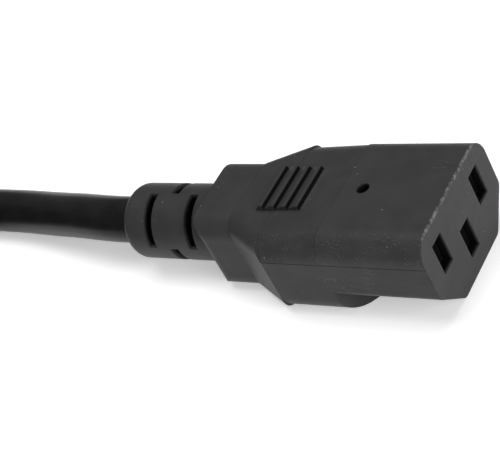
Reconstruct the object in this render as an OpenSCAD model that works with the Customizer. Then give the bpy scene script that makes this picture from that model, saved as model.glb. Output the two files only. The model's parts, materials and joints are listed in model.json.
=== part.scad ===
// Moulded C13 power connector on a round three-core lead.
// The connector lies flat on its base, mating face towards +X, strain relief towards -X.
// The origin is under the middle of the connector, on the surface that it lies on.
// The rest of the lead is coiled beside it and ends in a moulded C14 plug.

/* [Nose] */
// Width of the plug-in nose
nose_width = 24; // [23.5:0.1:24.2]
// Height of the plug-in nose
nose_height = 15.7; // [15.4:0.1:16]
// Length of the nose, from the mating face to the grip
nose_length = 18; // [17:0.5:20]
// Leg of the 45 degree chamfer along each lower edge
nose_chamfer = 5.4; // [5:0.1:5.6]
// Rounding of the upper long edges
top_edge_radius = 3.8; // [3:0.1:4.2]
// Rounding where a chamfer meets the side or the base
chamfer_edge_radius = 1.5; // [1:0.1:2]

/* [Grip and neck] */
// Distance from the mating face to the start of the flare
grip_end = 28.8; // [27:0.2:31]
// Distance from the mating face to the start of the neck
neck_start = 36; // [35:0.5:38]
// Distance from the mating face to the rear face of the neck
neck_end = 43.6; // [42:0.2:45]
// Width of the neck
neck_width = 16; // [15:0.5:18]
// Height of the neck's top above the base
neck_top = 15; // [14.6:0.1:15.4]
// Rounding of the neck's long edges
neck_radius = 3.4; // [2:0.2:4]
// Width of the ribbed thumb pad
pad_width = 9; // [8:0.5:11]
// Distance from one rib of the pad to the next
rib_pitch = 2.2; // [2:0.1:2.3]

/* [Strain relief] */
// Outside diameter of the strain relief
relief_diameter = 12.7; // [12:0.1:13.5]
// Distance from the mating face to the strain relief's end
relief_end = 62; // [61:0.5:64]
// Width of each window along the cord
window_width = 1.7; // [1.2:0.1:2]
// Distance from one pair of windows to the next
window_pitch = 4.3; // [4:0.1:4.5]
// Angle that each window spans round the cord
window_angle = 88; // [70:1:100]

/* [Contacts and pins] */
// Distance from the line slot to the neutral slot
pole_spacing = 14; // [14:0.1:14.2]
// Width of a slot in the mating face
slot_width = 3; // [2.8:0.1:3.1]
// Height of a slot in the mating face
slot_height = 5.5; // [5.2:0.1:5.6]
// Thickness of the contacts' sheet metal
sheet = 0.4; // [0.3:0.05:0.45]
// Thickness of a plug pin
pin_thickness = 2; // [1.9:0.05:2.1]
// Height of a plug pin
pin_height = 4; // [3.8:0.1:4.2]

/* [Cord] */
// Outside diameter of the cord
cord_diameter = 8; // [7.6:0.1:8]
// Outside diameter of one insulated core
core_diameter = 2.8; // [2.5:0.1:2.8]
// Diameter of a core's copper strands, bunched
strand_diameter = 1.3; // [1:0.1:1.4]

/* [Plug] */
// Gap between the plug's cavity and the nose that it takes
plug_clearance = 0.4; // [0.3:0.1:0.6]
// Thickness of the plug's shroud
shroud_wall = 2.1; // [1.8:0.1:2.2]
// Depth of the plug's cavity
cavity_depth = 17.5; // [17:0.5:18.5]

/* [Hidden] */
$fn = 48;

// Colours
PVC = "#2c2a2c";
CARRIER = "#3a3a3c";
BRONZE = "#c9a35e";
COPPER = "#c46a3a";
JACKET = "#232224";
LINE = "#6b3f22";
NEUTRAL = "#2f6fb4";
EARTH = "#8fae2a";
TIE = "#1d1d1f";
NICKEL = "#c8c9c6";

// Contact positions across the connector: [along Y, above the base]
half_pitch = pole_spacing / 2;
pole_height = nose_height / 2 + 2;
earth_height = nose_height / 2 - 2;
line_at = [-half_pitch, pole_height];
neutral_at = [half_pitch, pole_height];
earth_at = [0, earth_height];

// Distances behind the mating face
front_wall = 1.6;
slot_entry = 3;
carrier_end = 19;
crimp_start = 19.6;
wire_crimp = 3;
core_crimp = 2.6;
splay = 10;
splay_start = 25.6;
sheath_start = 36;

front_x = relief_end / 2;
neck_step = 0.05;
wall_inset = 1.9;
cord_axis = 7.5;
cord_radius = cord_diameter / 2;
core_radius = core_diameter / 2;
strand_radius = strand_diameter / 2;
lay_radius = cord_axis - earth_height;
lie = 0.02;

// Plug, in its own frame: distances behind its mouth
shroud_grow = plug_clearance + shroud_wall;
plug_grip_end = 32;
plug_neck_start = 38;
plug_neck_end = 42;
plug_end = 60;
plug_carrier_end = 24.5;
plug_crimp_start = 25;
plug_splay_start = 31;
plug_sheath_start = 41.5;
plug_axis = cord_axis;
plug_tail_x = -44;
plug_x = plug_tail_x + plug_end;

// Coil: three turns on the surface, three on top of them, and the end on top of those
coil_x = -110;
lead_y = 4.7;
turn_pitch = 8.1;
inner_turn = 32;
outer_turn = inner_turn + 2 * turn_pitch;
top_turn = inner_turn + 1.5 * turn_pitch;
coil_y = lead_y - outer_turn;
layer = cord_diameter;
tail_y = coil_y - top_turn;
top_layer = 2.5 * layer;
tie_width = 5;
tie_thick = 0.8;
tie_angle = 205;

// Centre line of the cord from the strain relief to the coil, falling to the surface
LEAD_ROUTE = [
    [-31, 0, 7.5], [-35, 0, 7.5], [-39, 0.3, 7.3], [-43, 0.9, 6.9],
    [-47, 1.6, 6.4], [-51, 2.3, 5.8], [-55, 3, 5.2], [-60, 3.8, 4.6],
    [-65, 4.4, 4.2], [-70, 4.7, 4], [-76, 4.8, 4], [-83, 4.8, 4],
    [-91, 4.7, 4], [-100, 4.7, 4], [-110, 4.7, 4],
];
// Centre line from the coil's top to the plug
TAIL_ROUTE = [
    [-110, tail_y, top_layer], [-101, tail_y, 20], [-92, tail_y, 20], [-84, tail_y, 19.9],
    [-78, tail_y, 19.3], [-72, tail_y, 17.8], [-66, tail_y, 15.3], [-60, tail_y, 12.8],
    [-54, tail_y, 11.1], [-49, tail_y, 10.1], [-44, tail_y, 10],
];

// ---------- Helpers ----------

// Extrudes a section drawn as [across, up] from one distance behind the face to another
module along(from, to) {
    translate([-to, 0, 0]) rotate([90, 0, 90]) linear_extrude(to - from) children();
}

// Turns a solid made round the Z axis so that Z runs backwards along the cord's axis
module round_axis(height) {
    translate([0, 0, height]) rotate([0, -90, 0]) children();
}

function unit(v) = v / norm(v);

// Convex outline whose corner i is rounded to radii[i]; each arc is a true circle
module rounded_polygon(points, radii) {
    count = len(points);
    corners = [for (i = [0:count - 1])
        let (
            p = points[i],
            u = unit(points[(i + count - 1) % count] - p),
            v = unit(points[(i + 1) % count] - p),
            half = acos(u * v) / 2,
            reach = radii[i] / tan(half)
        )
        [p + u * reach, p + v * reach, p + unit(u + v) * radii[i] / sin(half), radii[i]]
    ];
    polygon([for (c = corners) each [c[0], c[1]]]);
    for (c = corners)
        translate(c[2]) circle(c[3]);
}

module rounded_rectangle(width, bottom, top, radius) {
    rounded_polygon(
        [[width / 2, top], [-width / 2, top], [-width / 2, bottom], [width / 2, bottom]],
        [radius, radius, radius, radius]);
}

// Section of the nose, moved inwards by inset (or outwards when that is negative)
module nose_section(inset = 0) {
    side = nose_width / 2 - inset;
    chamfer = nose_chamfer - inset * (2 - sqrt(2));
    top_radius = max(top_edge_radius - inset, 0.8);
    low_radius = chamfer_edge_radius - min(inset, 0) * 0.5 - max(inset, 0) * 0.4;
    rounded_polygon(
        [[side, nose_height - inset], [-side, nose_height - inset],
         [-side, inset + chamfer], [chamfer - side, inset],
         [side - chamfer, inset], [side, inset + chamfer]],
        [top_radius, top_radius, low_radius, low_radius, low_radius, low_radius]);
}

// ---------- Parts that both ends share ----------

// Outside of a strain relief, from the neck to a rounded end
module relief_solid(from, to, height) {
    end_radius = 2;
    outer = relief_diameter / 2;
    round_axis(height) rotate_extrude() {
        translate([0, from]) square([outer, to - from - end_radius]);
        translate([0, to - end_radius - lie]) square([outer - end_radius, end_radius + lie]);
        translate([outer - end_radius, to - end_radius]) circle(end_radius);
    }
}

// Windows of a strain relief: pairs across the cord, each pair a quarter turn from the last
module relief_windows(first, height) {
    for (k = [0:2], opposite = [0, 180])
        round_axis(height) translate([0, 0, first + k * window_pitch - window_width / 2])
            rotate_extrude(angle = window_angle,
                           start = 315 + 90 * k + opposite - window_angle / 2)
                translate([cord_radius - 1, 0]) square([relief_diameter / 2, window_width]);
}

function to_hundredth(value) = round(value * 100) / 100;

// Where a core lies in the cord, round its axis
function lay(at, height) =
    at[0] == 0 ? [0, height - lay_radius]
    : [sign(at[0]) * lay_radius * cos(30), height + lay_radius * sin(30)];

// One wire: straight from the crimp, across to its place in the cord in an S of two equal arcs,
// then straight to the end. A ball a hair larger than the wire closes each joint.
module wire(at, height, radius, from, bend, to) {
    step = lay(at, height) - at;
    shift = to_hundredth(norm(step));
    bend_radius = to_hundredth((splay * splay + shift * shift) / (4 * max(shift, lie)));
    turn = 2 * atan(shift / splay);
    translate([0, at[0], 0]) round_axis(at[1]) rotate([0, 0, atan2(step[0], step[1])])
        if (shift < lie)
            translate([0, 0, from]) cylinder(h = to - from, r = radius);
        else {
            translate([0, 0, from]) cylinder(h = bend - from, r = radius);
            translate([bend_radius, 0, bend]) rotate([90, 0, 0])
                rotate_extrude(angle = turn, start = 180 - turn)
                    translate([bend_radius, 0]) circle(radius);
            for (k = [0, 0.5, 1])
                translate([k * shift, 0, bend + k * splay]) sphere(radius + lie);
            translate([shift - bend_radius, 0, bend + splay]) rotate([90, 0, 0])
                rotate_extrude(angle = turn, start = -turn)
                    translate([bend_radius, 0]) circle(radius);
            translate([shift, 0, bend + splay])
                cylinder(h = to - bend - splay, r = radius);
        }
}

// Crimp: a barrel closed on the strands and a wider one closed on the insulation
module crimp(at, from) {
    closing_gap = 0.3;
    wire_wall = strand_radius + sheet;
    core_wall = core_radius + sheet;
    translate([0, at[0], 0]) round_axis(at[1]) difference() {
        union() {
            translate([0, 0, from]) cylinder(h = wire_crimp, r = wire_wall);
            translate([0, 0, from + wire_crimp]) cylinder(h = core_crimp, r = core_wall);
        }
        translate([0, 0, from - 1]) cylinder(h = wire_crimp + 2, r = strand_radius);
        translate([0, 0, core_start_of(from)]) cylinder(h = core_crimp + 1, r = core_radius);
        translate([0, -closing_gap / 2, from - 1])
            cube([core_wall + 1, closing_gap, wire_crimp + core_crimp + 2]);
    }
}

function core_start_of(from) = from + wire_crimp + 0.4;

// Space that a crimp takes in the moulding round it
module crimp_space(at, from) {
    translate([0, at[0], 0]) round_axis(at[1]) {
        translate([0, 0, from - lie]) cylinder(h = wire_crimp + 2 * lie, r = strand_radius + sheet);
        translate([0, 0, from + wire_crimp]) cylinder(h = core_crimp, r = core_radius + sheet);
    }
}

// ---------- Connector ----------

// Nose, whose lower chamfers run out at a slanted wall, and the grip behind it
module nose_and_grip() {
    runout = 4;
    edge_step = 0.05;
    fall = nose_height - edge_step - neck_top - 2 * neck_step;
    slope = atan(fall / (grip_end - nose_length));
    flat_half = nose_width / 2 - nose_chamfer;
    along(0, nose_length) nose_section();
    intersection() {
        along(nose_length - runout, grip_end)
            rounded_rectangle(nose_width, 0, nose_height, top_edge_radius);
        translate([-nose_length, 0, nose_height - edge_step]) rotate([0, -slope, 0])
            along(-20, 20)
                rounded_rectangle(nose_width, -2 * nose_height, 0, top_edge_radius + 0.2);
        translate([0, 0, -1]) linear_extrude(nose_height + 2)
            polygon([
                [-grip_end, -nose_width], [-nose_length, -nose_width],
                [-nose_length, -nose_width / 2], [runout - nose_length, -flat_half],
                [runout - nose_length, flat_half], [-nose_length, nose_width / 2],
                [-nose_length, nose_width], [-grip_end, nose_width],
            ]);
    }
}

// Flare from the full-width grip down to the neck: each side is a slanted length of the neck's
// rounded section, and what both have in common is kept
module flare() {
    lead_in = (nose_width - neck_width) / 2 - neck_step;
    slant = atan(lead_in / (neck_start - grip_end));
    intersection() {
        along(grip_end, neck_start) translate([-nose_width, -1]) square(2 * nose_width);
        flare_side(1, slant);
        flare_side(-1, slant);
    }
}

module flare_side(side, slant) {
    reach = 2 * nose_width;
    translate([-grip_end, side * nose_width / 2, 0]) rotate([0, 0, side * slant])
        along(-reach, reach) translate([-side * reach / 2, 0])
            rounded_rectangle(reach, 0, neck_top + neck_step, neck_radius - 0.6);
}

module neck() {
    corner = 2;
    intersection() {
        along(neck_start - 3, neck_end)
            rounded_rectangle(neck_width, 0, neck_top, neck_radius);
        linear_extrude(2 * nose_height) mirror([1, 0])
            rounded_polygon(
                [[neck_end, neck_width / 2], [neck_start - 5, neck_width / 2],
                 [neck_start - 5, -neck_width / 2], [neck_end, -neck_width / 2]],
                [corner, 1, 1, corner]);
    }
}

// Thumb pad: saw-tooth ribs, each a ramp that rises forwards and drops to the next
module thumb_pad() {
    ribs = 4;
    rear = 31.9;
    crest = nose_height + 0.35;
    root = crest - 0.55;
    first = 30.4;
    front = 21.5;
    teeth = [for (k = [0:ribs - 1], p = [
        [-(first - k * rib_pitch) - 0.5, crest], [-(first - k * rib_pitch), crest],
        [-(first - k * rib_pitch) + 0.3, root]]) p];
    translate([0, pad_width / 2, 0]) rotate([90, 0, 0]) linear_extrude(pad_width)
        polygon([
            [-rear, neck_top - 1], [-rear, neck_top + 0.1], each teeth,
            [-front, nose_height - 0.4], [-front, neck_top - 1],
        ]);
}

// Solid core through the flare, which joins the forms in front of it and behind it
module spine() {
    reach = 3;
    along(grip_end - reach, neck_start + reach)
        rounded_rectangle(neck_width / 2, 4, neck_top - 4, 1);
}

module housing_outside() {
    nose_and_grip();
    flare();
    neck();
    spine();
    thumb_pad();
    relief_solid(neck_end - 1, relief_end, cord_axis);
}

module housing() {
    hole_at = 14.2;
    color(PVC) translate([front_x, 0, 0]) difference() {
        housing_outside();
        along(front_wall, carrier_end) nose_section(wall_inset);
        for (at = [line_at, neutral_at, earth_at]) {
            along(-1, front_wall + 1) translate(at) square([slot_width, slot_height], center = true);
            along(carrier_end - lie, crimp_start) translate(at) square([1, 2.4], center = true);
            crimp_space(at, crimp_start);
            wire(at, cord_axis, core_radius, core_start_of(crimp_start), splay_start,
                 sheath_start + 1);
        }
        round_axis(cord_axis) translate([0, 0, sheath_start])
            cylinder(h = relief_end - sheath_start + 1, r = cord_radius);
        relief_windows(neck_end + 3.65, cord_axis);
        translate([-hole_at, 0, nose_height - wall_inset - 1]) cylinder(h = 5, r = 1.05);
    }
}

// Rigid block inside the nose that holds the three contacts
module contact_carrier() {
    gap = sheet + 0.3;
    color(CARRIER) translate([front_x, 0, 0]) difference() {
        along(front_wall, carrier_end) nose_section(wall_inset);
        for (at = [line_at, neutral_at, earth_at]) {
            along(0, slot_entry + 1) translate(at)
                square([slot_width, slot_height], center = true);
            along(slot_entry, carrier_end + 1) translate(at)
                square([slot_width + 2 * gap, slot_height], center = true);
        }
        translate([-14.2, 0, nose_height - wall_inset - 1]) cylinder(h = 5, r = 1.05);
    }
}

// Contact folded from sheet: two bowed leaves grip the pin, a web joins them, a crimp takes the wire
module contact(at) {
    leaf = 4.4;
    tip = slot_entry + 0.4;
    root = 17;
    mouth = slot_width / 2 + 0.15;
    pinch = pin_thickness / 2 - 0.05;
    back = slot_width / 2;
    points = [[tip, mouth], [tip + 4, pinch], [tip + 6, pinch], [root - 3, back], [root, back]];
    translate([front_x, 0, 0]) {
        for (side = [-1, 1])
            translate([0, at[0], at[1] - leaf / 2]) linear_extrude(leaf) {
                for (i = [0:len(points) - 2])
                    leaf_segment(points[i], points[i + 1], side);
                for (i = [1:len(points) - 2])
                    translate([-points[i][0], side * (points[i][1] + sheet / 2)])
                        circle(sheet / 2, $fn = 24);
            }
        translate([-root, at[0] - back - sheet, at[1] - leaf / 2])
            cube([3, 2 * (back + sheet), sheet]);
        translate([-crimp_start - lie, at[0] - 0.5, at[1] - strand_radius - sheet])
            cube([crimp_start - root + 1, 1, sheet]);
        translate([-root, at[0] - back - sheet, at[1] - leaf / 2])
            cube([sheet, 2 * (back + sheet), leaf / 2 - strand_radius]);
        crimp(at, crimp_start);
    }
}

module leaf_segment(a, b, side) {
    inner = [[-a[0], side * a[1]], [-b[0], side * b[1]]];
    outer = [[-b[0], side * (b[1] + sheet)], [-a[0], side * (a[1] + sheet)]];
    polygon(concat(inner, outer));
}

module line_contact() { color(BRONZE) contact(line_at); }
module neutral_contact() { color(BRONZE) contact(neutral_at); }
module earth_contact() { color(BRONZE) contact(earth_at); }

module core(at) {
    start = core_start_of(crimp_start);
    translate([front_x, 0, 0]) difference() {
        wire(at, cord_axis, core_radius, start, splay_start, relief_end);
        wire(at, cord_axis, strand_radius, start - 1, splay_start, relief_end + 1);
    }
}

module line_core() { color(LINE) core(line_at); }
module neutral_core() { color(NEUTRAL) core(neutral_at); }
module earth_core() { color(EARTH) core(earth_at); }

module strands(at) {
    color(COPPER) translate([front_x, 0, 0])
        wire(at, cord_axis, strand_radius, crimp_start, splay_start, relief_end);
}

module line_strands() { strands(line_at); }
module neutral_strands() { strands(neutral_at); }
module earth_strands() { strands(earth_at); }

// Cord jacket held in a moulding, with a bore for each core
module jacket(from, to, height) {
    round_axis(height) difference() {
        translate([0, 0, from]) cylinder(h = to - from, r = cord_radius);
        for (at = [line_at, neutral_at, earth_at])
            translate([lay(at, 0)[1], lay(at, 0)[0], from - 1])
                cylinder(h = to - from + 2, r = core_radius);
    }
}

module sheath_end() {
    color(JACKET) translate([front_x, 0, 0]) jacket(sheath_start, relief_end, cord_axis);
}

// ---------- Free cord ----------

// Tube along a route: a ring of points square to the path at each point, joined into one solid
module tube(route, radius, sides) {
    last = len(route) - 1;
    rings = [for (i = [0:last])
        let (
            ahead = route[min(i + 1, last)] - route[max(i - 1, 0)],
            heading = i == 0 ? unit(route[1] - route[0])
                : i == last ? unit(route[last] - route[last - 1]) : unit(ahead),
            across = unit(cross(heading, [0, 0, 1])),
            up = cross(across, heading)
        )
        for (k = [0:sides - 1])
            route[i] + radius * (cos(k * 360 / sides) * across + sin(k * 360 / sides) * up)
    ];
    walls = [for (i = [0:last - 1], k = [0:sides - 1])
        let (n = (k + 1) % sides)
        [i * sides + k, (i + 1) * sides + k, (i + 1) * sides + n, i * sides + n]
    ];
    start = [[for (k = [0:sides - 1]) k]];
    end = [[for (k = [sides - 1:-1:0]) last * sides + k]];
    polyhedron(rings, concat(start, walls, end));
}

module cord_lead() { color(JACKET) tube(LEAD_ROUTE, cord_radius, 12); }
module cord_tail() { color(JACKET) tube(TAIL_ROUTE, cord_radius, 12); }

// Outline of the bundle of turns, as [distance from the coil's middle, height], grown by more
module bundle(more = 0) {
    inner = inner_turn - cord_radius - more;
    outer = outer_turn + cord_radius + more;
    shoulder = 2 * layer + more * 0.4;
    crest = 3 * layer + more;
    crown = cord_radius + more * 0.4;
    corner = 2;
    polygon([[outer - corner, 0], [outer, corner], [outer, shoulder], [top_turn + crown, crest],
             [top_turn - crown, crest], [inner, shoulder], [inner, corner], [inner + corner, 0]]);
}

// The tie pulls a little way into the turns
module coil_tie_solid() {
    bite = 0.25;
    translate([coil_x, coil_y, 0]) rotate([0, 0, tie_angle])
        translate([0, tie_width / 2, 0]) rotate([90, 0, 0]) linear_extrude(tie_width)
            difference() {
                bundle(tie_thick);
                intersection() {
                    bundle(-bite);
                    translate([0, tie_thick]) square(100);
                }
            }
}

module cord_coil() {
    color(JACKET) difference() {
        translate([coil_x, coil_y, 0]) rotate_extrude($fn = 96) bundle();
        coil_tie_solid();
        translate([coil_x, lead_y, cord_radius]) rotate([0, 90, 0])
            cylinder(h = 60, r = cord_radius);
        translate([coil_x, tail_y, top_layer]) rotate([0, 90, 0])
            cylinder(h = 60, r = cord_radius);
    }
}

module coil_tie() { color(TIE) coil_tie_solid(); }

// ---------- Plug ----------

// Places a piece of the plug, which is made with its mouth at the origin
module at_plug() {
    translate([plug_x, tail_y, shroud_grow]) children();
}

// The plug faces the connector's way, so its poles are the other way round
plug_line_at = [half_pitch, pole_height];
plug_neutral_at = [-half_pitch, pole_height];

module plug_outside() {
    along(0, plug_grip_end) nose_section(-shroud_grow);
    hull($fn = 32) {
        along(plug_grip_end, plug_grip_end + 0.01) nose_section(-shroud_grow);
        along(plug_neck_start - 0.01, plug_neck_start)
            rounded_rectangle(neck_width + 2, 0, nose_height, neck_radius);
    }
    along(plug_neck_start, plug_neck_end)
        rounded_rectangle(neck_width + 2, 0, nose_height, neck_radius);
    relief_solid(plug_neck_end - 1, plug_end, plug_axis);
}

module plug_carrier_section() {
    rounded_rectangle(nose_width - 3, 1, nose_height - 1.5, 2);
}

module plug_housing() {
    color(PVC) at_plug() difference() {
        plug_outside();
        along(-1, cavity_depth) nose_section(-plug_clearance);
        along(cavity_depth - lie, plug_carrier_end) plug_carrier_section();
        for (at = [plug_line_at, plug_neutral_at, earth_at]) {
            along(plug_carrier_end - lie, plug_crimp_start) translate(at)
                square([1, 2.4], center = true);
            crimp_space(at, plug_crimp_start);
            wire(at, plug_axis, core_radius, core_start_of(plug_crimp_start),
                 plug_splay_start, plug_sheath_start + 1);
        }
        round_axis(plug_axis) translate([0, 0, plug_sheath_start])
            cylinder(h = plug_end - plug_sheath_start + 1, r = cord_radius);
        relief_windows(plug_neck_end + 3.65, plug_axis);
    }
}

// Rigid bridge behind the plug's cavity that holds the three pins
module plug_carrier() {
    color(CARRIER) at_plug() difference() {
        along(cavity_depth, plug_carrier_end) plug_carrier_section();
        for (at = [plug_line_at, plug_neutral_at, earth_at])
            along(0, 40) translate(at) square([pin_thickness, pin_height], center = true);
    }
}

// Blade pin with a bevelled tip, and the crimp at its other end
module pin(at, tip) {
    bevel = 0.6;
    root = plug_carrier_end;
    wide = pin_height / 2;
    thick = pin_thickness / 2;
    color(NICKEL) at_plug() {
        intersection() {
            translate([0, at[0], 0]) linear_extrude(nose_height)
                polygon([[-root, -thick], [-tip - bevel, -thick], [-tip, bevel - thick],
                         [-tip, thick - bevel], [-tip - bevel, thick], [-root, thick]]);
            translate([0, nose_width, at[1]]) rotate([90, 0, 0]) linear_extrude(2 * nose_width)
                polygon([[-root, -wide], [-tip - bevel, -wide], [-tip, bevel - wide],
                         [-tip, wide - bevel], [-tip - bevel, wide], [-root, wide]]);
        }
        translate([-plug_crimp_start - lie, at[0] - 0.5, at[1] - strand_radius - sheet])
            cube([plug_crimp_start - root + 2 * lie, 1, sheet]);
        crimp(at, plug_crimp_start);
    }
}

module plug_line_pin() { pin(plug_line_at, 3.5); }
module plug_neutral_pin() { pin(plug_neutral_at, 3.5); }
module plug_earth_pin() { pin(earth_at, 1); }

module plug_core(at) {
    start = core_start_of(plug_crimp_start);
    at_plug() difference() {
        wire(at, plug_axis, core_radius, start, plug_splay_start, plug_end);
        wire(at, plug_axis, strand_radius, start - 1, plug_splay_start, plug_end + 1);
    }
}

module plug_line_core() { color(LINE) plug_core(plug_line_at); }
module plug_neutral_core() { color(NEUTRAL) plug_core(plug_neutral_at); }
module plug_earth_core() { color(EARTH) plug_core(earth_at); }

module plug_strands(at) {
    color(COPPER) at_plug()
        wire(at, plug_axis, strand_radius, plug_crimp_start, plug_splay_start, plug_end);
}

module plug_line_strands() { plug_strands(plug_line_at); }
module plug_neutral_strands() { plug_strands(plug_neutral_at); }
module plug_earth_strands() { plug_strands(earth_at); }

module plug_sheath_end() {
    color(JACKET) at_plug() jacket(plug_sheath_start, plug_end, plug_axis);
}

housing();
contact_carrier();
line_contact();
neutral_contact();
earth_contact();
line_core();
neutral_core();
earth_core();
line_strands();
neutral_strands();
earth_strands();
sheath_end();
cord_lead();
cord_coil();
cord_tail();
coil_tie();
plug_housing();
plug_carrier();
plug_line_pin();
plug_neutral_pin();
plug_earth_pin();
plug_line_core();
plug_neutral_core();
plug_earth_core();
plug_line_strands();
plug_neutral_strands();
plug_earth_strands();
plug_sheath_end();
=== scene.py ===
"""Looks of a moulded power connector, its cord and the plug at the cord's other end.

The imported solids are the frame. The rigid pieces keep their solids and are given their finishes
here. The free cord and the strap that holds its coil are made here as finer pieces.
Lengths are in metres unless a name ends in _mm. +X runs to the connector's mating face, +Z up.
"""

from __future__ import annotations

import json
import logging
import math
from dataclasses import dataclass
from enum import Enum

import bmesh
import bpy
import numpy as np
from mathutils import Matrix, Vector

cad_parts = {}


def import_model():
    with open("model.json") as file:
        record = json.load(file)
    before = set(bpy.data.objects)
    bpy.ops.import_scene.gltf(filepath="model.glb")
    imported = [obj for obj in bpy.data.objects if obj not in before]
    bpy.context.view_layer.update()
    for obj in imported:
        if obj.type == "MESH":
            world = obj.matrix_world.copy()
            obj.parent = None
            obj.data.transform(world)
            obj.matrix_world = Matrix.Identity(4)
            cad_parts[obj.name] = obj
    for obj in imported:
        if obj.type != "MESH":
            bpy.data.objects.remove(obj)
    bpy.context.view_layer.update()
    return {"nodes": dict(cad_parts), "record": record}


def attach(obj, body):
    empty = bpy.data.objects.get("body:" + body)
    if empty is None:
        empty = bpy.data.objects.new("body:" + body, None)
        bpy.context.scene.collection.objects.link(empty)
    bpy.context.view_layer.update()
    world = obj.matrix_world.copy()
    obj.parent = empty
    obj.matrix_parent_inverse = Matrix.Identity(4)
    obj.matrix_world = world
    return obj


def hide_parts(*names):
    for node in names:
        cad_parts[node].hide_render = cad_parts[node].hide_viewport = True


LOG = logging.getLogger("power_connector")
MM = 0.001

Colour = tuple[float, float, float]
Point = tuple[float, float, float]
Socket = bpy.types.NodeSocket


# ---------------------------------------------------------------- shader sockets


class Signal:
    """A number that a shader node gives out, with the usual sums as operators."""

    def __init__(self, shop: "Shop", socket: Socket) -> None:
        """Wraps one output socket of a material's nodes."""
        self.shop = shop
        self.socket = socket

    def _sum(self, operation: str, *values: "Signal | float") -> "Signal":
        """Puts values through one Math node.

        Args:
            operation: The Math node's operation.
            values: The node's inputs in order.

        Returns:
            The node's result.
        """
        node = self.shop.node(
            "ShaderNodeMath", {"operation": operation}, dict(enumerate(values)))
        return Signal(self.shop, node.outputs[0])

    def __add__(self, other: "Signal | float") -> "Signal":
        """This number plus another."""
        return self._sum("ADD", self, other)

    def __radd__(self, other: float) -> "Signal":
        """A plain number plus this one."""
        return self._sum("ADD", other, self)

    def __sub__(self, other: "Signal | float") -> "Signal":
        """This number less another."""
        return self._sum("SUBTRACT", self, other)

    def __rsub__(self, other: float) -> "Signal":
        """A plain number less this one."""
        return self._sum("SUBTRACT", other, self)

    def __mul__(self, other: "Signal | float") -> "Signal":
        """This number times another."""
        return self._sum("MULTIPLY", self, other)

    def __rmul__(self, other: float) -> "Signal":
        """A plain number times this one."""
        return self._sum("MULTIPLY", other, self)

    def __truediv__(self, other: "Signal | float") -> "Signal":
        """This number over another."""
        return self._sum("DIVIDE", self, other)

    def __rtruediv__(self, other: float) -> "Signal":
        """A plain number over this one."""
        return self._sum("DIVIDE", other, self)

    def __abs__(self) -> "Signal":
        """This number without its sign."""
        return self._sum("ABSOLUTE", self)

    def least(self, other: "Signal | float") -> "Signal":
        """The smaller of this number and another."""
        return self._sum("MINIMUM", self, other)

    def most(self, other: "Signal | float") -> "Signal":
        """The larger of this number and another."""
        return self._sum("MAXIMUM", self, other)

    def sine(self) -> "Signal":
        """The sine of this number, in radians."""
        return self._sum("SINE", self)

    def root(self) -> "Signal":
        """The square root of this number."""
        return self._sum("SQRT", self)

    def part(self) -> "Signal":
        """What this number is over the whole number below it."""
        return self._sum("FRACT", self)

    def rise(self, low: float, high: float) -> "Signal":
        """Goes smoothly from 0 to 1 as this number goes from low to high.

        Args:
            low: Where the rise begins.
            high: Where it ends.

        Returns:
            The cubic 3t^2 - 2t^3 of the way from low to high.
        """
        node = self.shop.node(
            "ShaderNodeMapRange", {"interpolation_type": "SMOOTHSTEP"},
            {"Value": self, "From Min": low, "From Max": high})
        return Signal(self.shop, node.outputs["Result"])

    def fall(self, low: float, high: float) -> "Signal":
        """Goes smoothly from 1 to 0 as this number goes from low to high."""
        return 1.0 - self.rise(low, high)

    def band(self, low: float, high: float, edge: float) -> "Signal":
        """1 between low and high, falling smoothly to 0 within edge outside them."""
        return self.rise(low - edge, low) * self.fall(high, high + edge)


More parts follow.
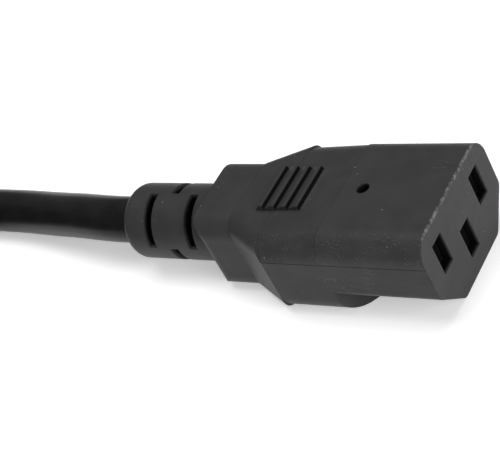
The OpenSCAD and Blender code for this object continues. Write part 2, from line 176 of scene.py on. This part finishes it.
class Shop:
    """Builds the nodes of one material."""

    def __init__(self, name: str) -> None:
        """Starts a material that has only its surface shader and its output.

        Args:
            name: The material's name.
        """
        self.material = bpy.data.materials.new(name)
        self.material.use_nodes = True
        self.tree = self.material.node_tree
        self.tree.nodes.clear()
        self.surface = self.node("ShaderNodeBsdfPrincipled")
        self.node("ShaderNodeOutputMaterial", {}, {"Surface": self.surface.outputs[0]})
        self.place = self.node("ShaderNodeTexCoord").outputs["Object"]

    def node(self, kind: str, settings: dict[str, object] | None = None,
             sockets: dict[str | int, object] | None = None) -> bpy.types.Node:
        """Adds one node.

        Args:
            kind: The node's type name.
            settings: Properties, which are set before the sockets.
            sockets: Values or links of its inputs, by name or number.

        Returns:
            The new node.
        """
        made = self.tree.nodes.new(kind)
        for name, value in (settings or {}).items():
            setattr(made, name, value)
        for name, value in (sockets or {}).items():
            self.feed(made.inputs[name], value)
        return made

    def feed(self, socket: Socket, value: object) -> None:
        """Links or sets an input socket.

        Args:
            socket: The input.
            value: A Signal, an output socket, a number or a colour.
        """
        if isinstance(value, Signal):
            value = value.socket
        if isinstance(value, Socket):
            self.tree.links.new(value, socket)
        else:
            socket.default_value = value

    def fixed(self, **values: object) -> None:
        """Sets constants on the surface shader; an underscore in a name stands for a space."""
        for name, value in values.items():
            self.surface.inputs[name.replace("_", " ")].default_value = value

    def look(self, colour: Socket, roughness: Signal) -> None:
        """Gives the surface its base colour, and its roughness from 0, a mirror, to 1, matt."""
        self.feed(self.surface.inputs["Base Color"], colour)
        self.feed(self.surface.inputs["Roughness"], roughness)

    def axes(self) -> tuple[Signal, Signal, Signal]:
        """Reads where a point lies on its piece.

        Returns:
            The Object coordinates along X, Y and Z, in metres.
        """
        split = self.node("ShaderNodeSeparateXYZ", {}, {0: self.place})
        along, across, up = (Signal(self, split.outputs[letter]) for letter in "XYZ")
        return along, across, up

    def stretched(self, shares: Point) -> Socket:
        """Object coordinates scaled along each axis, for a grain with a direction.

        Args:
            shares: The scale along X, Y and Z.

        Returns:
            The scaled coordinates.
        """
        node = self.node("ShaderNodeVectorMath", {"operation": "MULTIPLY"},
                         {0: self.place, 1: shares})
        return node.outputs[0]

    def noise(self, scale: float, detail: float = 3.0, rough: float = 0.55,
              at: Socket | None = None) -> Signal:
        """Cloudy noise from 0 to 1.

        Args:
            scale: Cycles in a metre.
            detail: Octaves.
            rough: How strong the finer octaves are.
            at: Coordinates; the Object coordinates if left out.

        Returns:
            The noise.
        """
        node = self.node("ShaderNodeTexNoise", {}, {
            "Vector": at or self.place, "Scale": scale, "Detail": detail, "Roughness": rough})
        return Signal(self, node.outputs["Fac"])

    def cells(self, scale: float) -> tuple[Signal, Signal]:
        """Scattered points.

        Args:
            scale: Cells in a metre.

        Returns:
            The distance to the nearest point in cells, and a number that each cell has of its own.
        """
        node = self.node("ShaderNodeTexVoronoi", {}, {"Vector": self.place, "Scale": scale})
        split = self.node("ShaderNodeSeparateXYZ", {}, {0: node.outputs["Color"]})
        return Signal(self, node.outputs["Distance"]), Signal(self, split.outputs["X"])

    def blend(self, share: Signal, low: Colour | Socket, high: Colour) -> Socket:
        """Mixes two colours.

        Args:
            share: How much of the second colour there is.
            low: The first colour.
            high: The second colour.

        Returns:
            The mixed colour's socket.
        """
        first, second, mixed = 6, 7, 2
        under = low if isinstance(low, Socket) else (*low, 1.0)
        node = self.node("ShaderNodeMix", {"data_type": "RGBA"},
                         {0: share, first: under, second: (*high, 1.0)})
        return node.outputs[mixed]

    def relief(self, height: Signal, depth: float, edge: float = 0.0) -> None:
        """Gives the surface its bump, over edges that are softened by a small radius.

        Args:
            height: The relief from 0 to 1.
            depth: The height that 1 stands for.
            edge: Radius to which sharp edges look rounded; none if 0.
        """
        sockets = {"Strength": 1.0, "Distance": depth, "Height": height}
        if edge > 0:
            soft = self.node("ShaderNodeBevel", {"samples": 6}, {"Radius": edge})
            sockets["Normal"] = soft.outputs[0]
        bump = self.node("ShaderNodeBump", {}, sockets)
        self.feed(self.surface.inputs["Normal"], bump.outputs[0])


# ---------------------------------------------------------------- finishes


@dataclass(frozen=True)
class MouldedPvc:
    """Satin black PVC straight from a spark-eroded mould, a little dusty and scratched."""

    name: str = "moulded_pvc"
    body: Colour = (0.040, 0.038, 0.040)
    pale: Colour = (0.048, 0.046, 0.048)
    # Pale colour of the dusty specks and scratches, also painted on as highlight glints and as the
    # pale edge line.
    dust_and_glint: Colour = (0.30, 0.29, 0.29)
    # Near black for painted shade in the slots, windows, locating hole and on the thumb pad's
    # steps, and for the painted shade line below the near shoulder.
    black: Colour = (0.002, 0.002, 0.002)
    gloss: float = 0.37
    edge_mm: float = 0.30
    grain_mm: float = 0.016
    face_mm: float = 31.0
    side_mm: float = 12.0
    # Height of the bumped groove and of the painted shade line along it, below the near shoulder.
    seam_shade_mm: float = 11.42
    slot_half_mm: float = 1.6
    pole_mm: float = 7.0
    relief_axis_mm: float = 7.5
    hole_at_mm: float = 16.8
    rib_start_mm: float = 0.6
    rib_pitch_mm: float = 2.2
    pad_half_mm: float = 4.45

    def make(self) -> bpy.types.Material:
        """Builds the material.

        Returns:
            The material: cloudy colour, fine grain, dusty specks, thin scratches, a broken pale
                line on the face's upper edge,
            painted highlight glints on the near shoulder, a groove below it with a painted shade
            line, and painted shade in the slots, windows, locating hole and on the thumb pad's
            steps.
        """
        shop = Shop(self.name)
        along, across, up = shop.axes()
        cloud = shop.noise(240.0, 4.0)
        grain = shop.noise(5200.0, 2.0, 0.6)
        glints = self.glints(shop, along, across, up)
        pale_edge_line = self.pale_edge_line(shop, along, up)
        # Painted shade: a near-black line along the near side below the shoulder, over a shallow
        # bumped groove.
        seam_and_shade = up.band(self.seam_shade_mm * MM, (self.seam_shade_mm + 0.08) * MM, 0.07 * MM)
        seam_and_shade = seam_and_shade * across.fall((0.2 - self.side_mm) * MM, (0.3 - self.side_mm) * MM)
        # Painted shade in the slots, windows and locating hole and on the thumb pad's steps; the
        # same mask also makes them rougher.
        recess_shade = self.slots(along, across, up).most(self.windows(along, across, up))
        recess_shade = recess_shade.most(self.hole(along, across, up)).most(self.rib_step_shade(along, across, up))
        specks, scratches = self.specks(shop), self.scratches(shop)
        # Pale marks: dusty specks, scratches, the painted highlight glints and the pale edge line;
        # the glints also raise the bump.
        marks_and_glints = specks + scratches * 0.25 + glints * 0.5 + pale_edge_line * 0.5
        colour = shop.blend(cloud.rise(0.3, 0.7), self.body, self.pale)
        colour = shop.blend(marks_and_glints.least(1.0), colour, self.dust_and_glint)
        colour = shop.blend((seam_and_shade * 0.8).most(recess_shade), colour, self.black)
        shop.look(colour, cloud * 0.05 + grain * 0.08 + specks * 0.3 + pale_edge_line * 0.2
                  + recess_shade * 0.4 + self.gloss)
        shop.fixed(IOR=1.2)
        height = grain * 0.6 + specks * 0.6 + glints * 1.8 - scratches * 0.4 - seam_and_shade * 3.0
        shop.relief(height, self.grain_mm * MM, self.edge_mm * MM)
        return shop.material

    def specks(self, shop: Shop) -> Signal:
        """Dust, 1 on a speck: the middle of a few cells in a hundred."""
        distance, lot = shop.cells(900.0)
        return distance.fall(0.05, 0.11) * lot.rise(0.93, 0.95)

    def scratches(self, shop: Shop) -> Signal:
        """Hair scratches along X, 1 on a scratch: thin contours of a stretched noise."""
        drawn = shop.noise(900.0, 1.0, 0.5, shop.stretched((0.12, 1.0, 1.0)))
        return abs(drawn - 0.5).fall(0.0, 0.006) * shop.noise(70.0).rise(0.56, 0.66)

    def glints(self, shop: Shop, along: Signal, across: Signal, up: Signal) -> Signal:
        """Painted highlight: coarse sparkle on the rounded shoulder of the nose that faces -Y.

        Args:
            shop: The material's nodes.
            along: The Object coordinate along X.
            across: The Object coordinate along Y.
            up: The Object coordinate along Z.

        Returns:
            1 on a glint.
        """
        distance, lot = shop.cells(4600.0)
        side = across.fall(-self.side_mm * MM, (1.5 - self.side_mm) * MM)
        side = side.least(up.rise(11.8 * MM, 12.6 * MM))
        top = across.band((0.8 - self.side_mm) * MM, (2.8 - self.side_mm) * MM, 0.5 * MM)
        shoulder = side.most(top * up.rise(12.5 * MM, 14.0 * MM)) * along.rise(0.0, 4.0 * MM)
        glints = shoulder * distance.fall(0.10, 0.34) * lot.rise(0.35, 0.75)
        return glints * shop.noise(500.0, 2.0).rise(0.35, 0.6)

    def pale_edge_line(self, shop: Shop, along: Signal, up: Signal) -> Signal:
        """Broken pale line along the upper edge of the mating face.

        Args:
            shop: The material's nodes.
            along: The Object coordinate along X.
            up: The Object coordinate along Z.

        Returns:
            1 on the line.
        """
        edge = along.rise((self.face_mm - 0.18) * MM, (self.face_mm - 0.10) * MM)
        return (edge * up.rise(15.0 * MM, 15.3 * MM)
                * shop.noise(1500.0, 3.0, 0.7).rise(0.40, 0.62))

    def slots(self, along: Signal, across: Signal, up: Signal) -> Signal:
        """Painted shade on the walls of the three slots in the mating face.

        Args:
            along: The Object coordinate along X.
            across: The Object coordinate along Y.
            up: The Object coordinate along Z.

        Returns:
            1 inside a slot.
        """
        narrow, wide = self.slot_half_mm * MM, (self.slot_half_mm + 0.3) * MM
        poles = abs(abs(across) - self.pole_mm * MM).fall(narrow, wide)
        earth = abs(across).fall(narrow, wide)
        poles = poles * up.band(7.0 * MM, 12.7 * MM, 0.2 * MM)
        earth = earth * up.band(3.0 * MM, 8.7 * MM, 0.2 * MM)
        return poles.most(earth) * along.band(12.0 * MM, (self.face_mm - 0.5) * MM, 0.3 * MM)

    def windows(self, along: Signal, across: Signal, up: Signal) -> Signal:
        """Painted shade on the walls of the strain relief's windows, which lie nearer its axis than
        its skin does.

        Args:
            along: The Object coordinate along X.
            across: The Object coordinate along Y.
            up: The Object coordinate along Z.

        Returns:
            1 inside a window.
        """
        high = up - self.relief_axis_mm * MM
        inside = (across * across + high * high).root().fall(5.5 * MM, 6.1 * MM)
        return inside * along.band(-29.0 * MM, -12.8 * MM, 0.3 * MM)

    def hole(self, along: Signal, across: Signal, up: Signal) -> Signal:
        """Painted shade on the wall of the locating hole in the nose's top.

        Args:
            along: The Object coordinate along X.
            across: The Object coordinate along Y.
            up: The Object coordinate along Z.

        Returns:
            1 inside the hole.
        """
        off = along - self.hole_at_mm * MM
        inside = (off * off + across * across).root().fall(1.02 * MM, 1.14 * MM)
        return inside * up.fall(15.2 * MM, 15.6 * MM)

    def rib_step_shade(self, along: Signal, across: Signal, up: Signal) -> Signal:
        """Painted shade on the thumb pad's steps, one at the start of each rib's pitch.

        Args:
            along: The Object coordinate along X.
            across: The Object coordinate along Y.
            up: The Object coordinate along Z.

        Returns:
            1 on a step.
        """
        pitch = ((along - self.rib_start_mm * MM) / (self.rib_pitch_mm * MM)).part()
        steps = pitch.band(0.03, 0.17, 0.04) * along.band(0.5 * MM, 8.0 * MM, 0.1 * MM)
        steps = steps * abs(across).fall(self.pad_half_mm * MM, (self.pad_half_mm + 0.1) * MM)
        return steps * up.band(15.2 * MM, 15.92 * MM, 0.1 * MM)


@dataclass(frozen=True)
class CordJacket:
    """Extruded PVC jacket, smoother and glossier than the moulding."""

    name: str = "cord_jacket"
    body: Colour = (0.010, 0.0096, 0.010)
    pale: Colour = (0.014, 0.0134, 0.014)

    def make(self) -> bpy.types.Material:
        """Builds the material.

        Returns:
            The material: a cloudy black with a fine grain and a soft gloss.
        """
        shop = Shop(self.name)
        cloud = shop.noise(220.0, 3.0)
        grain = shop.noise(3800.0, 2.0)
        shop.look(shop.blend(cloud.rise(0.3, 0.7), self.body, self.pale),
                  cloud * 0.10 + grain * 0.06 + 0.22)
        shop.fixed(IOR=1.2)
        shop.relief(grain * 0.6 + cloud * 0.4, 0.010 * MM)
        return shop.material


@dataclass(frozen=True)
class Plastic:
    """Plain plastic with a fine grain, for the insulation, the carriers and the strap."""

    name: str
    body: Colour
    pale: Colour
    gloss: float = 0.35
    stripe: Colour | None = None

    def make(self) -> bpy.types.Material:
        """Builds the material.

        Returns:
            The material, with a stripe along the cord if one is named.
        """
        shop = Shop(self.name)
        cloud = shop.noise(400.0, 3.0)
        grain = shop.noise(5000.0, 2.0)
        colour = shop.blend(cloud.rise(0.3, 0.7), self.body, self.pale)
        if self.stripe is not None:
            _, across, _ = shop.axes()
            colour = shop.blend((across * 1400.0).sine().rise(-0.15, 0.15), colour, self.stripe)
        shop.look(colour, cloud * 0.12 + grain * 0.08 + (self.gloss - 0.1))
        shop.fixed(IOR=1.35)
        shop.relief(grain, 0.012 * MM)
        return shop.material


@dataclass(frozen=True)
class SheetMetal:
    """Pressed or plated metal with rolling marks and a trace of tarnish."""

    name: str
    bright: Colour
    dull: Colour
    rough: float = 0.30

    def make(self) -> bpy.types.Material:
        """Builds the material.

        Returns:
            The material: streaked metal whose dull patches are rougher.
        """
        shop = Shop(self.name)
        streak = shop.noise(3000.0, 3.0, 0.6, shop.stretched((0.05, 1.0, 1.0)))
        patch = shop.noise(300.0, 4.0).rise(0.45, 0.7)
        shop.look(shop.blend(patch, self.bright, self.dull),
                  streak * 0.12 + patch * 0.15 + (self.rough - 0.08))
        shop.fixed(Metallic=1.0)
        shop.relief(streak, 0.006 * MM)
        return shop.material


@dataclass(frozen=True)
class Backdrop:
    """Matt white paper that the lead lies on, lit a little from below as on a light table."""

    name: str = "white_paper"
    low: Colour = (0.93, 0.93, 0.93)
    high: Colour = (0.95, 0.95, 0.95)
    glow: float = 0.4

    def make(self) -> bpy.types.Material:
        """Builds the material.

        Returns:
            The material: near-white with the faintest cloudiness.
        """
        shop = Shop(self.name)
        shop.feed(shop.surface.inputs["Base Color"],
                  shop.blend(shop.noise(30.0), self.low, self.high))
        shop.fixed(Roughness=0.95, Emission_Color=(1.0, 1.0, 1.0, 1.0),
                   Emission_Strength=self.glow)
        return shop.material


class Dress(Enum):
    """The finish of each material slot in the part's record."""

    MOULDED = MouldedPvc()
    JACKET = CordJacket()
    CARRIER = Plastic("carrier", (0.006, 0.006, 0.006), (0.010, 0.010, 0.010), 0.75)
    BRONZE = SheetMetal("contact_bronze", (0.72, 0.52, 0.28), (0.42, 0.27, 0.13))
    LINE = Plastic("line_insulation", (0.20, 0.10, 0.05), (0.26, 0.13, 0.07))
    NEUTRAL = Plastic("neutral_insulation", (0.05, 0.19, 0.48), (0.08, 0.25, 0.56))
    EARTH = Plastic("earth_insulation", (0.62, 0.55, 0.05), (0.70, 0.62, 0.08),
                    stripe=(0.06, 0.30, 0.08))
    COPPER = SheetMetal("copper", (0.80, 0.42, 0.26), (0.45, 0.20, 0.12))
    NICKEL = SheetMetal("pin_plating", (0.74, 0.74, 0.71), (0.55, 0.55, 0.53), 0.22)
    STRAP = Plastic("tie", (0.015, 0.015, 0.016), (0.03, 0.03, 0.031), 0.55)


# ---------------------------------------------------------------- surfaces


def grid_mesh(name: str, grid: np.ndarray, closed: bool) -> bpy.types.Object:
    """Makes a mesh from a grid of points.

    Quad (i, j) joins points (i, j), (i, j+1), (i+1, j+1) and (i+1, j). On a closed surface the
    last row joins the first and the last column joins the first.

    Args:
        name: The object's name.
        grid: Points as [along, round, xyz].
        closed: Whether the surface closes on itself both ways, like a ring.

    Returns:
        The new object, smooth shaded.
    """
    rows, columns, _ = grid.shape
    i = np.arange(rows if closed else rows - 1)[:, None]
    j = np.arange(columns if closed else columns - 1)[None, :]
    i2, j2 = (i + 1) % rows, (j + 1) % columns
    quads = np.stack([i * columns + j, i * columns + j2, i2 * columns + j2, i2 * columns + j], -1)
    mesh = bpy.data.meshes.new(name)
    mesh.from_pydata(grid.reshape(-1, 3).tolist(), [], quads.reshape(-1, 4).tolist())
    mesh.polygons.foreach_set("use_smooth", np.ones(len(mesh.polygons), bool))
    mesh.update()
    made = bpy.data.objects.new(name, mesh)
    bpy.context.scene.collection.objects.link(made)
    return made


def face_outwards(made: bpy.types.Object) -> None:
    """Turns every face of a closed mesh outwards.

    Args:
        made: The mesh's object.
    """
    work = bmesh.new()
    work.from_mesh(made.data)
    bmesh.ops.recalc_face_normals(work, faces=work.faces)
    work.to_mesh(made.data)
    work.free()


def smooth(t: np.ndarray) -> np.ndarray:
    """The cubic 3t^2 - 2t^3 of t kept between 0 and 1, which starts and ends level."""
    t = np.clip(t, 0.0, 1.0)
    return t * t * (3.0 - 2.0 * t)


def staged(at: np.ndarray, start: float, changes: list[tuple[float, float, float]]) -> np.ndarray:
    """A value that changes smoothly in stages.

    Args:
        at: Where the value is wanted.
        start: The value before the first change.
        changes: For each, where it starts, where it ends and how much it adds.

    Returns:
        start plus, for each change, what it adds times the smooth cubic of the way through it.
    """
    value = np.full_like(at, start)
    for low, high, added in changes:
        value = value + added * smooth((at - low) / (high - low))
    return value


@dataclass(frozen=True)
class Coil:
    """Where the spare cord is wound, in millimetres and degrees."""

    centre_mm: tuple[float, float] = (-110.0, -43.5)
    outer_mm: float = 48.2
    middle_mm: float = 40.1
    inner_mm: float = 32.0
    top_mm: float = 44.15
    layer_mm: float = 8.0
    strap_angle: float = 205.0
    strap_lift_mm: float = 0.9
    lift_level: float = 6.0
    lift_run: float = 16.0
    turned: float = 2340.0
    step: float = 15.0

    def line(self) -> np.ndarray:
        """Centre line of the coil's six and a half turns, in millimetres.

        With a the angle wound so far, a point is at the coil's centre plus r(a) times the direction
        90 degrees + a, at height z(a). r goes through the three turns inwards, outwards on the
        second layer, and to its middle on the third; z goes up one cord at a time. Where the strap
        passes underneath, every layer is lifted by its thickness.

        Returns:
            Points one step apart.
        """
        a = np.arange(0.0, self.turned + 1.0, self.step)
        inwards = self.middle_mm - self.outer_mm
        further_in = self.inner_mm - self.middle_mm
        r = staged(a, self.outer_mm, [
            (300, 360, inwards), (660, 720, further_in), (1320, 1380, -further_in),
            (1680, 1740, -inwards), (2040, 2100, self.top_mm - self.outer_mm)])
        z = staged(a, self.layer_mm / 2, [
            (960, 1020, self.layer_mm), (1980, 2040, self.layer_mm)])
        off = np.abs((90.0 + a - self.strap_angle + 180.0) % 360.0 - 180.0)
        z = z + self.strap_lift_mm * (1.0 - smooth((off - self.lift_level) / self.lift_run))
        direction = np.radians(90.0 + a)
        x = self.centre_mm[0] + r * np.cos(direction)
        y = self.centre_mm[1] + r * np.sin(direction)
        return np.stack([x, y, z], 1)


@dataclass(frozen=True)
class FreeCord:
    """The cord from the connector's strain relief, through its coil, to the plug."""

    coil: Coil = Coil()
    diameter_mm: float = 8.0
    lead_mm: tuple[Point, ...] = (
        (-31, 0, 7.5), (-35, 0, 7.5), (-39, 0.3, 7.3), (-43, 0.9, 6.9), (-47, 1.6, 6.4),
        (-51, 2.3, 5.8), (-55, 3, 5.2), (-60, 3.8, 4.6), (-65, 4.4, 4.2), (-70, 4.7, 4),
        (-76, 4.8, 4), (-83, 4.8, 4), (-91, 4.7, 4), (-100, 4.7, 4))
    tail_mm: tuple[tuple[float, float], ...] = (
        (-101, 20), (-92, 20), (-84, 19.9), (-78, 19.3), (-72, 17.8), (-66, 15.3),
        (-60, 12.8), (-54, 11.1), (-49, 10.1), (-44, 10))

    def route(self) -> np.ndarray:
        """Joins the lead, the coil and the tail.

        Returns:
            The whole centre line from the strain relief to the plug, in metres.
        """
        tail_y = self.coil.centre_mm[1] - self.coil.top_mm
        tail = np.array([(x, tail_y, z) for x, z in self.tail_mm])
        return np.concatenate([np.array(self.lead_mm, float), self.coil.line(), tail]) * MM

    def make(self) -> tuple[bpy.types.Object, float]:
        """Builds the cord as one open curve.

        Returns:
            The curve and its length in metres.
        """
        points = self.route()
        curve = bpy.data.curves.new("power_cord", "CURVE")
        curve.dimensions = "3D"
        curve.bevel_depth = self.diameter_mm * MM / 2
        curve.bevel_resolution = 7
        curve.resolution_u = 5
        spline = curve.splines.new("BEZIER")
        spline.bezier_points.add(len(points) - 1)
        spline.bezier_points.foreach_set("co", points.ravel())
        for point in spline.bezier_points:
            point.handle_left_type = point.handle_right_type = "AUTO"
        cord = bpy.data.objects.new("power_cord", curve)
        bpy.context.scene.collection.objects.link(cord)
        bpy.context.view_layer.update()
        return cord, spline.calc_length()

    def dress(self, cord: bpy.types.Object, jacket: bpy.types.Material) -> None:
        """Gives the cord its jacket and puts it in the solids' place.

        Args:
            cord: The curve.
            jacket: Its material.
        """
        cord.data.materials.append(jacket)
        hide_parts("cord_lead", "cord_coil", "cord_tail")
        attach(cord, "root")


@dataclass(frozen=True)
class Strap:
    """The strap that holds the coil: a flat band wrapped once round the bundle of turns."""

    coil: Coil = Coil()
    width_mm: float = 5.0
    thick_mm: float = 0.8
    outline_mm: tuple[tuple[float, float], ...] = (
        (52.6, 0.4), (52.6, 16.4), (48.3, 24.35), (40.0, 24.35), (27.6, 16.4), (27.6, 0.4))
    corner_mm: float = 3.0
    squareness: float = 5.0
    points_along: int = 240
    points_round: int = 28
    points_averaged: int = 13

    def middle(self) -> np.ndarray:
        """Middle line of the band in the plane that cuts the bundle, in millimetres.

        The line follows the outline's straight sides. Each corner is rounded by averaging over a
        window as long as the corner's arc: p(t) = mean of the outline from t - w to t + w.

        Returns:
            Points as [distance from the coil's middle, height], evenly spaced round the loop.
        """
        corners = np.array(self.outline_mm)
        loop = np.vstack([corners, corners[:1]])
        sides = np.linalg.norm(np.diff(loop, axis=0), axis=1)
        along = np.concatenate([[0.0], np.cumsum(sides)])
        t = np.linspace(0.0, along[-1], self.points_along, endpoint=False)
        window = np.linspace(-self.corner_mm, self.corner_mm, self.points_averaged)
        at = (t[:, None] + window[None, :]) % along[-1]
        return np.stack([np.interp(at, along, loop[:, k]).mean(1) for k in (0, 1)], 1)

    def make(self) -> bpy.types.Object:
        """Builds the band: a rounded rectangle carried round the middle line.

        Each ring is the middle line's point plus across * (half width) * c(u) along the cord and
        out * (half thickness) * s(u) away from the bundle, where c and s are the cosine and sine
        raised, with their signs, to 2 / squareness.

        Returns:
            The band's object.
        """
        line = self.middle()
        ahead = np.roll(line, -1, 0) - np.roll(line, 1, 0)
        ahead /= np.linalg.norm(ahead, axis=1, keepdims=True)
        out = np.stack([ahead[:, 1], -ahead[:, 0]], 1)
        u = np.linspace(0.0, 2.0 * math.pi, self.points_round, endpoint=False)
        power = 2.0 / self.squareness
        wide = np.sign(np.cos(u)) * np.abs(np.cos(u)) ** power * self.width_mm / 2
        deep = np.sign(np.sin(u)) * np.abs(np.sin(u)) ** power * self.thick_mm / 2
        radial = line[:, None, 0] + out[:, None, 0] * deep[None, :]
        height = line[:, None, 1] + out[:, None, 1] * deep[None, :]
        sideways = np.broadcast_to(wide[None, :], radial.shape)
        turn = math.radians(self.coil.strap_angle)
        x = self.coil.centre_mm[0] + radial * math.cos(turn) - sideways * math.sin(turn)
        y = self.coil.centre_mm[1] + radial * math.sin(turn) + sideways * math.cos(turn)
        made = grid_mesh("coil_strap", np.stack([x, y, height], -1) * MM, True)
        face_outwards(made)
        return made

    def dress(self, strap: bpy.types.Object, finish: bpy.types.Material) -> None:
        """Gives the strap its finish and puts it in the solid's place.

        Args:
            strap: The band.
            finish: Its material.
        """
        strap.data.materials.append(finish)
        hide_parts("coil_tie")
        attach(strap, "root")


# ---------------------------------------------------------------- studio


@dataclass(frozen=True)
class SoftBox:
    """A square soft light that points at the connector."""

    name: str
    place: Point
    target: Point
    size: float
    watts: float

    def make(self) -> None:
        """Hangs the light."""
        data = bpy.data.lights.new(self.name, "AREA")
        data.shape = "SQUARE"
        data.size = self.size
        data.energy = self.watts
        lamp = bpy.data.objects.new(self.name, data)
        lamp.location = self.place
        lamp.rotation_mode = "QUATERNION"
        aim = Vector(self.target) - Vector(self.place)
        lamp.rotation_quaternion = aim.to_track_quat("-Z", "Y")
        bpy.context.scene.collection.objects.link(lamp)


@dataclass(frozen=True)
class Studio:
    """Camera, soft lights and white paper."""

    place_mm: Point = (138.93, -134.32, 147.94)
    turn: Point = (2.26677188, 0.34158672, -0.74941036)
    lens: float = 108.99
    sensor: float = 36.0
    room_light: float = 0.22
    floor_half: float = 6.0
    boxes: tuple[SoftBox, ...] = (
        SoftBox("overhead_box", (-0.10, 0.10, 0.75), (0, 0, 0), 0.60, 3.6),
        SoftBox("front_box", (0.75, -0.25, 0.35), (0, 0, 0.01), 0.45, 3.6),
        SoftBox("side_box", (-0.25, -0.80, 0.45), (0, 0, 0.01), 0.45, 0.3))

    def camera(self) -> None:
        """Sets the camera.

        turn is the rotation vector from the part's frame to that of a camera which looks along its
        +Z with +Y down, so the rows of its matrix are right, down and forwards.
        """
        vector = Vector(self.turn)
        right, down, forwards = Matrix.Rotation(vector.length, 3, vector.normalized())
        facing = Matrix((right, -down, -forwards)).transposed().to_4x4()
        data = bpy.data.cameras.new("camera")
        data.lens = self.lens
        data.sensor_width = self.sensor
        data.clip_start, data.clip_end = 0.01, 20.0
        camera = bpy.data.objects.new("camera", data)
        camera.matrix_world = Matrix.Translation(Vector(self.place_mm) * MM) @ facing
        bpy.context.scene.collection.objects.link(camera)
        bpy.context.scene.camera = camera

    def room(self) -> None:
        """Lights the room evenly and shows colours without a film curve."""
        world = bpy.data.worlds.new("white_room")
        world.use_nodes = True
        light = world.node_tree.nodes["Background"].inputs
        light["Color"].default_value = (1, 1, 1, 1)
        light["Strength"].default_value = self.room_light
        bpy.context.scene.world = world
        bpy.context.scene.view_settings.view_transform = "Standard"

    def floor(self) -> None:
        """Lays the paper."""
        reach = np.linspace(-self.floor_half, self.floor_half, 3)
        x, y = np.meshgrid(reach, reach, indexing="ij")
        paper = grid_mesh("paper", np.stack([x, y, np.zeros_like(x)], -1), False)
        paper.data.materials.append(Backdrop().make())

    def make(self) -> None:
        """Builds the whole studio."""
        self.camera()
        for box in self.boxes:
            box.make()
        self.room()
        self.floor()


# ---------------------------------------------------------------- assembly


def dress_solids(frame: dict) -> dict[str, bpy.types.Material]:
    """Gives every solid its slot's finish.


    Returns:
        The materials by slot name.
    """
    made = {dress.value.name: dress.value.make() for dress in Dress}
    for part in frame["record"]["subparts"]:
        solid = frame["nodes"][part["node"]]
        solid.data.materials.clear()
        solid.data.materials.append(made[part["material_slot"]])
        LOG.info("%s is dressed in %s", part["node"], part["material_slot"])
    return made


def main() -> None:
    """Builds the scene in order: studio, solids' finishes, cord, strap."""
    logging.basicConfig(level=logging.INFO, format="%(name)s: %(message)s")
    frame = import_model()
    Studio().make()
    finishes = dress_solids(frame)

    free_cord = FreeCord()
    cord, length = free_cord.make()
    free_cord.dress(cord, finishes["cord_jacket"])
    LOG.info("power_cord is %.4f m long", length)

    band = Strap()
    strap = band.make()
    band.dress(strap, finishes["tie"])
    LOG.info("coil_strap has %d faces", len(strap.data.polygons))


if __name__ == "__main__":
    main()
